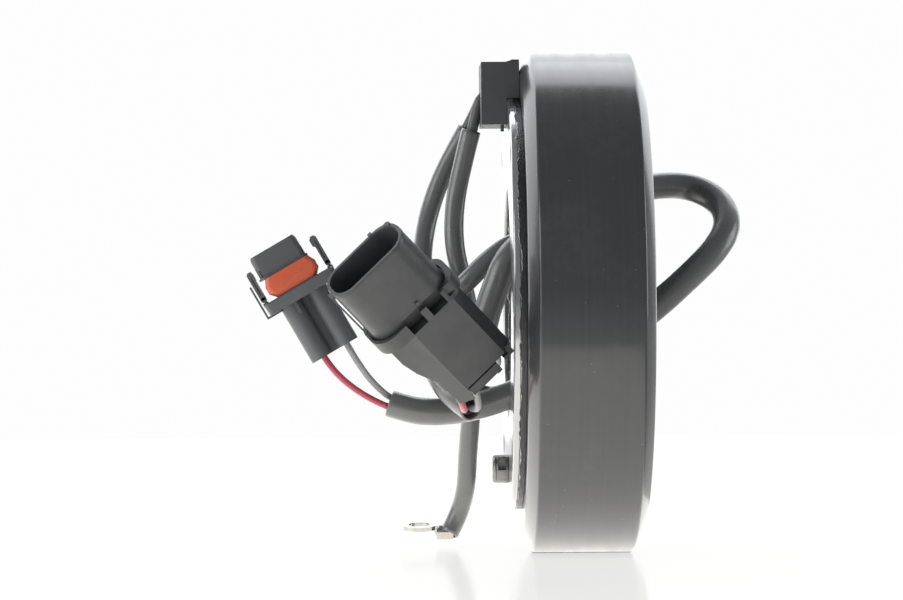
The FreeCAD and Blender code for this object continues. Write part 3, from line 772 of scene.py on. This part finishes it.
def make_plate():
    """Blanked plate: rolled rear edge, smooth sheared band, then a fracture band set slightly in."""
    band = 1.15
    profile = [
        (0.0, PLATE_BORE_R + 0.25), (0.0, PLATE_R - 0.25), (0.25, PLATE_R), (band, PLATE_R),
        (band + 0.1, PLATE_R - 0.07), (PLATE_T, PLATE_R - 0.16), (PLATE_T, PLATE_BORE_R + 0.16),
        (band + 0.1, PLATE_BORE_R + 0.07), (band, PLATE_BORE_R), (0.25, PLATE_BORE_R),
    ]
    plate = lathe("plate", profile, 0.12)
    holes = [rod(PIN_SHANK_R + 0.05, (-1, 0, PIN_Z), (PLATE_T + 1, 0, PIN_Z))]
    holes += [rod(PEG_R + 0.05, (-1, y, PEG_Z), (PLATE_T + 1, y, PEG_Z)) for y in (-PEG_Y, PEG_Y)]
    for angle in WELD_ANGLES:
        y = WELD_RING_R * math.cos(math.radians(angle))
        z = WELD_RING_R * math.sin(math.radians(angle))
        holes.append(rod(WELD_R, (-1, y, z), (PLATE_T + 1, y, z)))
    plate = combine(plate, holes, "DIFFERENCE")
    plate.data.set_sharp_from_angle(angle=math.radians(40))
    stand_in(plate, "mounting_plate")


def make_pin():
    """Turned pin: chamfered tip, shallow groove behind it, and a punched slot in its side."""
    groove = -2.35
    profile = [
        (PLATE_T - 0.1, 0.001), (PLATE_T - 0.1, PIN_SHANK_R), (-0.05, PIN_SHANK_R), (-0.05, PIN_R),
        (groove + 0.12, PIN_R), (groove, PIN_R - 0.14), (groove - 0.12, PIN_R - 0.04),
        (0.35 - PIN_LENGTH, PIN_R - 0.06), (-PIN_LENGTH, PIN_R - 0.42), (-PIN_LENGTH, 0.001),
    ]
    pin = lathe("pin", profile, 0.06, z=PIN_Z, sides=96)
    slot = box(-2.05, -0.5, -PIN_R - 1, -PIN_R + 2.4, PIN_Z - 0.1, PIN_Z + 2.2)
    pin = combine(pin, [slot], "DIFFERENCE")
    pin.data.set_sharp_from_angle(angle=math.radians(30))
    stand_in(pin, "locating_pin")


def make_block():
    """Moulded box over the plate's edge, with a raised lip at the ring and a moulding gate below."""
    half = BLOCK_HALF_Y
    front_x = PLATE_T - 0.05
    body = box(BLOCK_REAR_X, front_x, -half, half, BLOCK_LOW_Z, BLOCK_TOP_Z)
    lip_half = half - 0.9
    lip = box(0.9, front_x, -lip_half, lip_half, BLOCK_TOP_Z - 0.4, BLOCK_TOP_Z + 0.5)
    slope_outline = [(-1.4, BLOCK_TOP_Z - 0.3), (1.0, BLOCK_TOP_Z - 0.3), (1.0, BLOCK_TOP_Z + 0.42)]
    slope = side_prism("slope", slope_outline, -lip_half, lip_half)
    body = combine(body, [lip, slope], "UNION")
    plate_room = rod(PLATE_R + 0.05, (-0.05, 0, 0), (front_x + 1, 0, 0), 240)
    pocket = box(BLOCK_REAR_X + BLOCK_WALL, -1.7, -half + BLOCK_WALL, half - BLOCK_WALL,
                 BLOCK_LOW_Z + BLOCK_WALL, BLOCK_TOP_Z + 1)
    holes = [rod(0.75, (-3, y, z), (front_x + 1, y, z)) for y, z in LEAD_TAILS]
    holes += [rod(LEAD_WIRE_D / 2 + 0.05, (BLOCK_REAR_X - 1, y, z), (BLOCK_REAR_X + 3, y, z))
              for y, z in LEAD_EXITS]
    body = combine(body, [plate_room, pocket] + holes, "DIFFERENCE")
    pegs = [rod(PEG_R, (-0.3, y, PEG_Z), (PLATE_T - 0.1, y, PEG_Z)) for y in (-PEG_Y, PEG_Y)]
    gate = rod(0.35, (-0.9, -6.0, BLOCK_LOW_Z + 0.3), (-0.9, -6.0, BLOCK_LOW_Z - 1.3))
    body = combine(body, pegs + [gate], "UNION")
    stand_in(soften(body, 0.35, 3), "lead_block")


# Ring terminal

EYE_AT = (-17.7, 21.8, -46.0)
EYE_TIP = 8.0
EYE_R = 2.15
EYE_OUT_R = 3.6
EYE_T = 0.8
EYE_REACH = 4.1
CRIMP_R = 1.7
CRIMP_LENGTH = 3.4
CRIMP_DROP = 1.2


def make_terminal():
    """Stamped eye, folded neck and a rolled crimp barrel with a seam."""
    half = EYE_T / 2
    eye = rod(EYE_OUT_R, (0, 0, -half), (0, 0, half), 72)
    neck_end = EYE_REACH - 0.2
    neck = prism("neck", [(2.6, -1.9), (neck_end, -1.25), (neck_end, 1.25), (2.6, 1.9)], -half, half)
    barrel = rod(CRIMP_R, (EYE_REACH - 0.5, 0, -CRIMP_DROP), (EYE_REACH + CRIMP_LENGTH - 0.5, 0, -CRIMP_DROP))
    ramp = side_prism("ramp", [(EYE_REACH - 1.3, half), (EYE_REACH - 1.3, -half),
                               (EYE_REACH, -CRIMP_DROP - 1.4), (EYE_REACH, half)], -1.2, 1.2)
    body = combine(eye, [neck, barrel, ramp], "UNION")
    hole = rod(EYE_R, (0, 0, -3), (0, 0, 3), 56)
    bore_x = EYE_REACH + 0.3
    bore = rod(LEAD_WIRE_D / 2, (bore_x, 0, -CRIMP_DROP), (bore_x + 6, 0, -CRIMP_DROP))
    seam = box(EYE_REACH + 0.1, EYE_REACH + 4, -0.09, 0.09, -0.6, 1.4)
    dents = [rod(0.5, (EYE_REACH + 1.1, y, CRIMP_R - CRIMP_DROP + 0.25),
                 (EYE_REACH + 1.9, y, CRIMP_R - CRIMP_DROP + 0.25), 16) for y in (-0.45, 0.45)]
    body = combine(body, [hole, bore, seam] + dents, "DIFFERENCE")
    tip = Matrix.Translation(mm(*EYE_AT)) @ Matrix.Rotation(math.radians(EYE_TIP), 4, "X")
    stand_in(soften(body, 0.1), "ring_terminal", tip)


# Four-way socket. Its own axes: x across, y away from the windowed side, z out of the mouth.

SOCKET_MOUTH = (-27.9, -56.0, 8.4)
SOCKET_X = (0.722, 0.0, 0.692)
SOCKET_Z = (-0.574, -0.56, 0.598)
SHROUD_W = 17.4
SHROUD_H = 9.2
SHROUD_WALL = 0.85
SHROUD_LENGTH = 13.8
SHROUD_HOLLOW = 12.6
SHROUD_SHIFT = -0.3
COLLAR_W = 20.0
COLLAR_H = 11.4
COLLAR_LENGTH = 2.6
BODY_W = 17.6
BODY_H = 9.6
SOCKET_REAR_Z = -34.0
BLADES = (-5.4, -1.8, 1.8, 5.4)
WINDOWS = (-3.3, 1.8)
WINDOW_W = 3.6
RETAINER_X = 0.5
RETAINER_W = 7.2


def shroud_outline(grow):
    """Oval of the shroud, grown all round by that much."""
    width = SHROUD_W + 2 * grow
    height = SHROUD_H + 2 * grow
    return rounded_rectangle(width, height, height / 2 - 0.6, x=SHROUD_SHIFT)


def make_socket_housing():
    collar_z = -SHROUD_LENGTH - COLLAR_LENGTH
    shroud = loft("shroud", [(-SHROUD_LENGTH - 1, shroud_outline(0.12)), (-0.9, shroud_outline(0.0)),
                             (-0.5, shroud_outline(0.1)), (0, shroud_outline(-0.05))])
    collar = prism("collar", rounded_rectangle(COLLAR_W, COLLAR_H, 4.4), collar_z, 0.5 - SHROUD_LENGTH)
    groove = loft("groove", [(-SHROUD_LENGTH, shroud_outline(0.45)),
                             (1 - SHROUD_LENGTH, shroud_outline(0.5))])
    collar = combine(collar, [groove], "DIFFERENCE")
    body = socket_body(collar_z)
    ribs = [
        box(3.2, 4.1, SHROUD_H / 2 - 0.4, SHROUD_H / 2 + 0.5, -6.0, 0.1),
        rod(0.75, (7.1, 3.0, -5.0), (7.1, 3.0, 0.15), 24),
        box(-9.7, -9.38, -0.9, 0.9, -SHROUD_LENGTH, -0.7),
        box(-9.7, -8.6, -0.9, 0.9, -1.3, -0.7),
        box(-9.7, -8.6, -0.9, 0.9, -SHROUD_LENGTH - 1, 0.9 - SHROUD_LENGTH),
    ]
    bump = rod(0.42, (1.1, -SHROUD_H / 2 + 0.4, -12.0), (1.1, -SHROUD_H / 2 - 0.45, -12.0), 20)
    whole = combine(collar, [shroud, body, bump] + ribs, "UNION")
    lead_in = 0.35
    inner = shroud_outline(-SHROUD_WALL)
    mouth = shroud_outline(lead_in - SHROUD_WALL)
    hollow = loft("hollow", [(-SHROUD_HOLLOW, inner), (-lead_in, inner), (0.3, mouth)])
    near = -COLLAR_H / 2
    windows = [box(x, x + WINDOW_W, near - 1, near + 2.6, collar_z + 0.3, 1.1 - SHROUD_LENGTH)
               for x in WINDOWS]
    notch = box(6.3, 7.9, near - 1, near + 0.7, collar_z + 0.9, 1.1 - SHROUD_LENGTH)
    rear_pocket = box(-7.0, BODY_W / 2 - 1.4, -2.4, 3.2, SOCKET_REAR_Z - 4, SOCKET_REAR_Z + 4.2)
    blade_slots = [box(x - 1.05, x + 1.05, -0.45, 0.45, SOCKET_REAR_Z + 4, 1 - SHROUD_HOLLOW)
                   for x in BLADES]
    half_slot = RETAINER_W / 2 - 0.5
    slot = box(RETAINER_X - half_slot, RETAINER_X + half_slot, -4.1, -3.2,
               SOCKET_REAR_Z - 1, SOCKET_REAR_Z + 4.1)
    whole = combine(whole, [hollow, rear_pocket, slot, notch] + windows + blade_slots, "DIFFERENCE")
    stand_in(soften(whole, 0.13), "socket_housing", socket_place)


def socket_body(front_z):
    """Rear box: one long edge chamfered twice and tapering away, the other with a broad bevel and a hook."""
    w = BODY_W / 2
    h = BODY_H / 2
    outline = [(-w, -0.8), (2.1 - w, -2.0), (5.4 - w, -h), (w - 2.3, -h), (w, -2.6), (w, h), (-w, h)]
    body = prism("body", outline, SOCKET_REAR_Z, front_z + 0.3)
    taper = side_prism("taper", [(-w - 1, -22.5), (-w, -22.5), (0.7 - w, -26.0), (2.1 - w, -29.5),
                                 (2.1 - w, -36.0), (-w - 1, -36.0)], -h - 1, h + 1)
    body = combine(body, [taper], "DIFFERENCE")
    rail_outline = [(2.1 - w, -2.0), (5.4 - w, -h), (5.4 - w, -3.6), (3.0 - w, -1.4)]
    rail = prism("rail", rail_outline, SOCKET_REAR_Z - 3.0, SOCKET_REAR_Z + 1)
    hook = box(w - 1.9, w - 0.7, -4.2, -2.8, SOCKET_REAR_Z - 1.7, SOCKET_REAR_Z + 0.5)
    barb = box(w - 3.1, w - 0.7, -4.2, -2.8, SOCKET_REAR_Z - 1.7, SOCKET_REAR_Z - 1.1)
    return combine(body, [rail, hook, barb], "UNION")


def make_retainer():
    """Thumb bar with a stepped edge on a sliding tongue."""
    half = RETAINER_W / 2
    top = SOCKET_REAR_Z - 0.35
    bar = box(RETAINER_X - half, RETAINER_X + half, -BODY_H / 2, -3.1, top - 2.2, top)
    tongue = box(RETAINER_X - half + 0.6, RETAINER_X + half - 0.6, -4.0, -3.3,
                 top - 1, SOCKET_REAR_Z + 4.0)
    bar = combine(bar, [tongue], "UNION")
    near = -BODY_H / 2
    step = box(RETAINER_X - half - 1, RETAINER_X + half - 1.2, near - 1, near + 0.35, top - 3, top - 1.5)
    bar = combine(bar, [step], "DIFFERENCE")
    stand_in(soften(bar, 0.12), "socket_retainer", socket_place, "retainer")


# Two-way plug. Its own axes: x across, y away from the near side, z out of the nose.

PLUG_FLANGE = (-41.8, -18.0, 3.3)
PLUG_X = (0.866, 0.0, 0.5)
PLUG_Z = (-0.5, 0.0, 0.866)
NECK = (8.0, 4.6)
NOSE = (10.1, 5.7)
NOSE_BACK_Z = 4.4
NOSE_FRONT_Z = 9.4
SEAL = (11.0, 7.4)
LATCH_X = 0.7
FLANGE_W = 15.4
FLANGE_H = 8.6
FLANGE_T = 2.4
BARREL_R = 2.2
BARREL_LENGTH = 12.4
BARRELS = (-2.4, 3.4)
CONTACTS = (-2.0, 2.6)
ARM_X = 7.2
ARM_T = 1.1
ARM_W = 4.6
ARM_LENGTH = 7.0
ARM_ROOT_Z = 0.9


def make_plug_housing():
    """Nose with a lip, neck, flange with a guard rail, and two open barrels joined by a web."""
    flange = loft("flange", [(-FLANGE_T, rounded_rectangle(FLANGE_W - 0.3, FLANGE_H - 0.3, 0.9, x=LATCH_X)),
                             (-0.3, rounded_rectangle(FLANGE_W, FLANGE_H, 1.0, x=LATCH_X)),
                             (0, rounded_rectangle(FLANGE_W - 0.5, FLANGE_H - 0.5, 0.8, x=LATCH_X))])
    neck = prism("neck", rounded_rectangle(*NECK, 1.0), -0.5, NOSE_BACK_Z + 0.2)
    nose = loft("nose", [(NOSE_BACK_Z, rounded_rectangle(NOSE[0], NOSE[1], 1.1)),
                         (NOSE_FRONT_Z - 0.9, rounded_rectangle(NOSE[0] - 0.1, NOSE[1] - 0.1, 1.1)),
                         (NOSE_FRONT_Z - 0.2, rounded_rectangle(NOSE[0] - 0.6, NOSE[1] - 0.6, 1.0))])
    lip = prism("lip", rounded_rectangle(NOSE[0] + 0.6, NOSE[1] + 0.5, 1.3),
                NOSE_BACK_Z - 0.1, NOSE_BACK_Z + 0.3)
    low = -2.1 - BARREL_LENGTH
    barrels = [rod(BARREL_R, (x, 0, low), (x, 0, -1)) for x in BARRELS]
    web = box(*BARRELS, 0.9, 1.8, low, -1)
    pedestals = [box(x - ARM_T / 2, x + ARM_T / 2, -ARM_W / 2, ARM_W / 2, -0.5, ARM_ROOT_Z - ARM_T / 2 - 0.04)
                 for x in (LATCH_X - ARM_X, LATCH_X + ARM_X)]
    edge = LATCH_X - FLANGE_W / 2
    guard = [box(edge - 0.75, edge - 0.45, -1.6, 1.6, -FLANGE_T - 0.1, 4.4),
             box(edge - 0.75, edge + 2.4, -1.6, 1.6, -FLANGE_T - 0.35, -FLANGE_T + 0.05)]
    tab = box(-1.9, -1.2, -BARREL_R - 0.25, -1.6, -4.9, -FLANGE_T + 0.2)
    whole = combine(flange, [neck, nose, lip, web, tab] + barrels + guard + pedestals, "UNION")
    cores = [rod(BARREL_R - 0.6, (x, 0, low - 1), (x, 0, low + 4.6)) for x in BARRELS]
    contacts = [box(x - 0.9, x + 0.9, -0.6, 0.6, -FLANGE_T - 6.0, NOSE_FRONT_Z + 1) for x in CONTACTS]
    slit = box(-NOSE[0] / 2 + 0.5, -NOSE[0] / 2 + 0.85, -NOSE[1], -NOSE[1] / 2 + 0.4, NOSE_BACK_Z + 0.35,
               NOSE_BACK_Z + 1.9)
    whole = combine(whole, cores + contacts + [slit], "DIFFERENCE")
    stand_in(soften(whole, 0.12), "plug_housing", plug_place)


def make_plug_seal():
    """Ring seal on the plug's neck, its ends pointed."""
    levels = [(0.1, 2.2), (1.25, 0.0), (2.75, 0.0), (4.25, 1.5)]
    seal = loft("seal", [(z, rounded_rectangle(SEAL[0] - drop, SEAL[1] - drop * 0.15, 1.1, x=0.5))
                         for z, drop in levels])
    room = prism("room", rounded_rectangle(NECK[0] + 0.1, NECK[1] + 0.1, 1.05), -1, 6)
    seal = combine(seal, [room], "DIFFERENCE")
    stand_in(soften(seal, 0.14, angle=25), "plug_seal", plug_place)


def make_plug_arm(side, node, body):
    """Latch arm: springy blade on a round root, slotted face, inward barb at the tip."""
    x_in = ARM_X - ARM_T / 2
    half = ARM_W / 2
    blade = side_prism("blade", [(x_in, ARM_ROOT_Z), (x_in + ARM_T, ARM_ROOT_Z),
                                 (x_in + ARM_T, ARM_LENGTH - 0.4), (x_in + ARM_T - 0.4, ARM_LENGTH),
                                 (x_in, ARM_LENGTH)], -half, half)
    reach = 0.4 if side > 0 else 0.12
    barb = side_prism("barb", [(x_in - reach, ARM_LENGTH - 1.9), (x_in + 0.2, ARM_LENGTH - 2.3),
                               (x_in + 0.2, ARM_LENGTH - 0.1), (x_in - reach, ARM_LENGTH - 0.5)], -half, half)
    root = rod(ARM_T / 2, (ARM_X, -half, ARM_ROOT_Z), (ARM_X, half, ARM_ROOT_Z), 24)
    arm = combine(blade, [barb, root], "UNION")
    slot = box(x_in + 0.42, x_in + 0.62, -half - 1, -half + 0.4, ARM_ROOT_Z + 1.2, ARM_LENGTH - 1.2)
    arm = combine(arm, [slot], "DIFFERENCE")
    arm = soften(arm, 0.1)
    if side < 0:
        arm.data.transform(Matrix.Scale(-1, 4, X_AXIS))
        arm.data.flip_normals()
    arm.data.transform(Matrix.Translation(mm(LATCH_X, 0, 0)))
    stand_in(arm, node, plug_place, body)


socket_place = placing(SOCKET_MOUTH, SOCKET_X, SOCKET_Z)
plug_place = placing(PLUG_FLANGE, PLUG_X, PLUG_Z)
make_shell()
make_plate()
make_pin()
make_block()
make_terminal()
make_socket_housing()
make_retainer()
make_plug_housing()
make_plug_seal()
make_plug_arm(-1, "plug_arm_left", "arm_left")
make_plug_arm(1, "plug_arm_right", "arm_right")


# Floor and light

FLOOR_Z = cad_low.z
WALL_Y = 0.6
FLOOR_LIGHT = 0.45
FLOOR_SEEN = 0.7
FLOOR_MIRROR = (0.12, 0.12, 0.117, 1)
ROOM_LIGHT = 0.36
BACKDROP = (0.985, 0.985, 0.985, 1)


def make_floor():
    """A lit white table: it glows evenly and only mirrors a little."""
    far = WALL_Y - 0.001
    floor = mesh_object(
        "floor", [(-1.6, -1.6, FLOOR_Z), (1.6, -1.6, FLOOR_Z), (1.6, far, FLOOR_Z), (-1.6, far, FLOOR_Z)],
        [(0, 1, 2, 3)], smooth=False)
    bpy.context.scene.collection.objects.link(floor)
    p = Paint("floor", (0.12, 0.12, 0.118), 0.6, Specular_IOR_Level=0.0, Emission_Color=(1.0, 0.995, 0.97, 1))
    seen = p.node("ShaderNodeLightPath").outputs["Is Camera Ray"]
    p.join(p.ramp(seen, 0.0, 1.0, FLOOR_LIGHT, FLOOR_SEEN), p.shader.inputs["Emission Strength"])
    mirror = p.node("ShaderNodeBsdfAnisotropic")
    mirror.inputs["Color"].default_value = FLOOR_MIRROR
    p.join(p.ramp(p.noise((30, 30, 30), 3), 0.3, 0.7, 0.09, 0.14), mirror.inputs["Roughness"])
    both = p.node("ShaderNodeAddShader")
    p.join(p.shader.outputs[0], both.inputs[0])
    p.join(mirror.outputs[0], both.inputs[1])
    p.join(both.outputs[0], p.tree.nodes["Material Output"].inputs["Surface"])
    floor.data.materials.append(p.material)


def make_world():
    """White to the eye; as light, a dim room."""
    world = bpy.data.worlds.new("studio")
    world.use_nodes = True
    bpy.context.scene.world = world
    tree = world.node_tree
    room = tree.nodes["Background"]
    room.inputs["Color"].default_value = (0.95, 0.98, 1.0, 1)
    room.inputs["Strength"].default_value = ROOM_LIGHT
    backdrop = tree.nodes.new("ShaderNodeBackground")
    backdrop.inputs["Color"].default_value = BACKDROP
    seen = tree.nodes.new("ShaderNodeLightPath")
    mix = tree.nodes.new("ShaderNodeMixShader")
    tree.links.new(seen.outputs["Is Camera Ray"], mix.inputs[0])
    tree.links.new(room.outputs[0], mix.inputs[1])
    tree.links.new(backdrop.outputs[0], mix.inputs[2])
    tree.links.new(mix.outputs[0], tree.nodes["World Output"].inputs["Surface"])


def make_light(name, place, aim, size, radiance, color=(1, 1, 1)):
    """A soft box of that size in metres, that the camera doesn't see."""
    data = bpy.data.lights.new(name, "AREA")
    data.shape = "RECTANGLE"
    data.size, data.size_y = size
    data.energy = radiance * math.pi * size[0] * size[1]
    data.color = color
    light = bpy.data.objects.new(name, data)
    bpy.context.scene.collection.objects.link(light)
    light.location = Vector(place)
    light.rotation_mode = "QUATERNION"
    light.rotation_quaternion = (Vector(aim) - light.location).to_track_quat("-Z", "Y")
    light.visible_camera = False


def make_lights():
    table = FLOOR_Z + 0.0005
    make_light("table_glow", (-0.3, 0.12, table), (-0.3, 0.12, 1), (0.7, 0.56), 1.35, (1.0, 0.98, 0.92))
    make_light("low_wall", (-0.2, WALL_Y, 0.225), (-0.2, 0, 0.225), (1.8, 0.55), 1.6, (0.95, 0.98, 1.0))
    make_light("high_wall", (-0.2, WALL_Y, 0.9), (-0.2, 0, 0.9), (1.8, 0.8), 2.8, (0.95, 0.98, 1.0))
    make_light("left_box", (-0.9, -0.4, 0.15), (0, 0, 0), (0.7, 0.9), 3.2)
    make_light("right_box", (0.95, 0.05, 0.15), (0, 0, 0), (0.5, 0.7), 3.0)


make_floor()
make_world()
make_lights()
bpy.context.scene.view_settings.view_transform = "Standard"
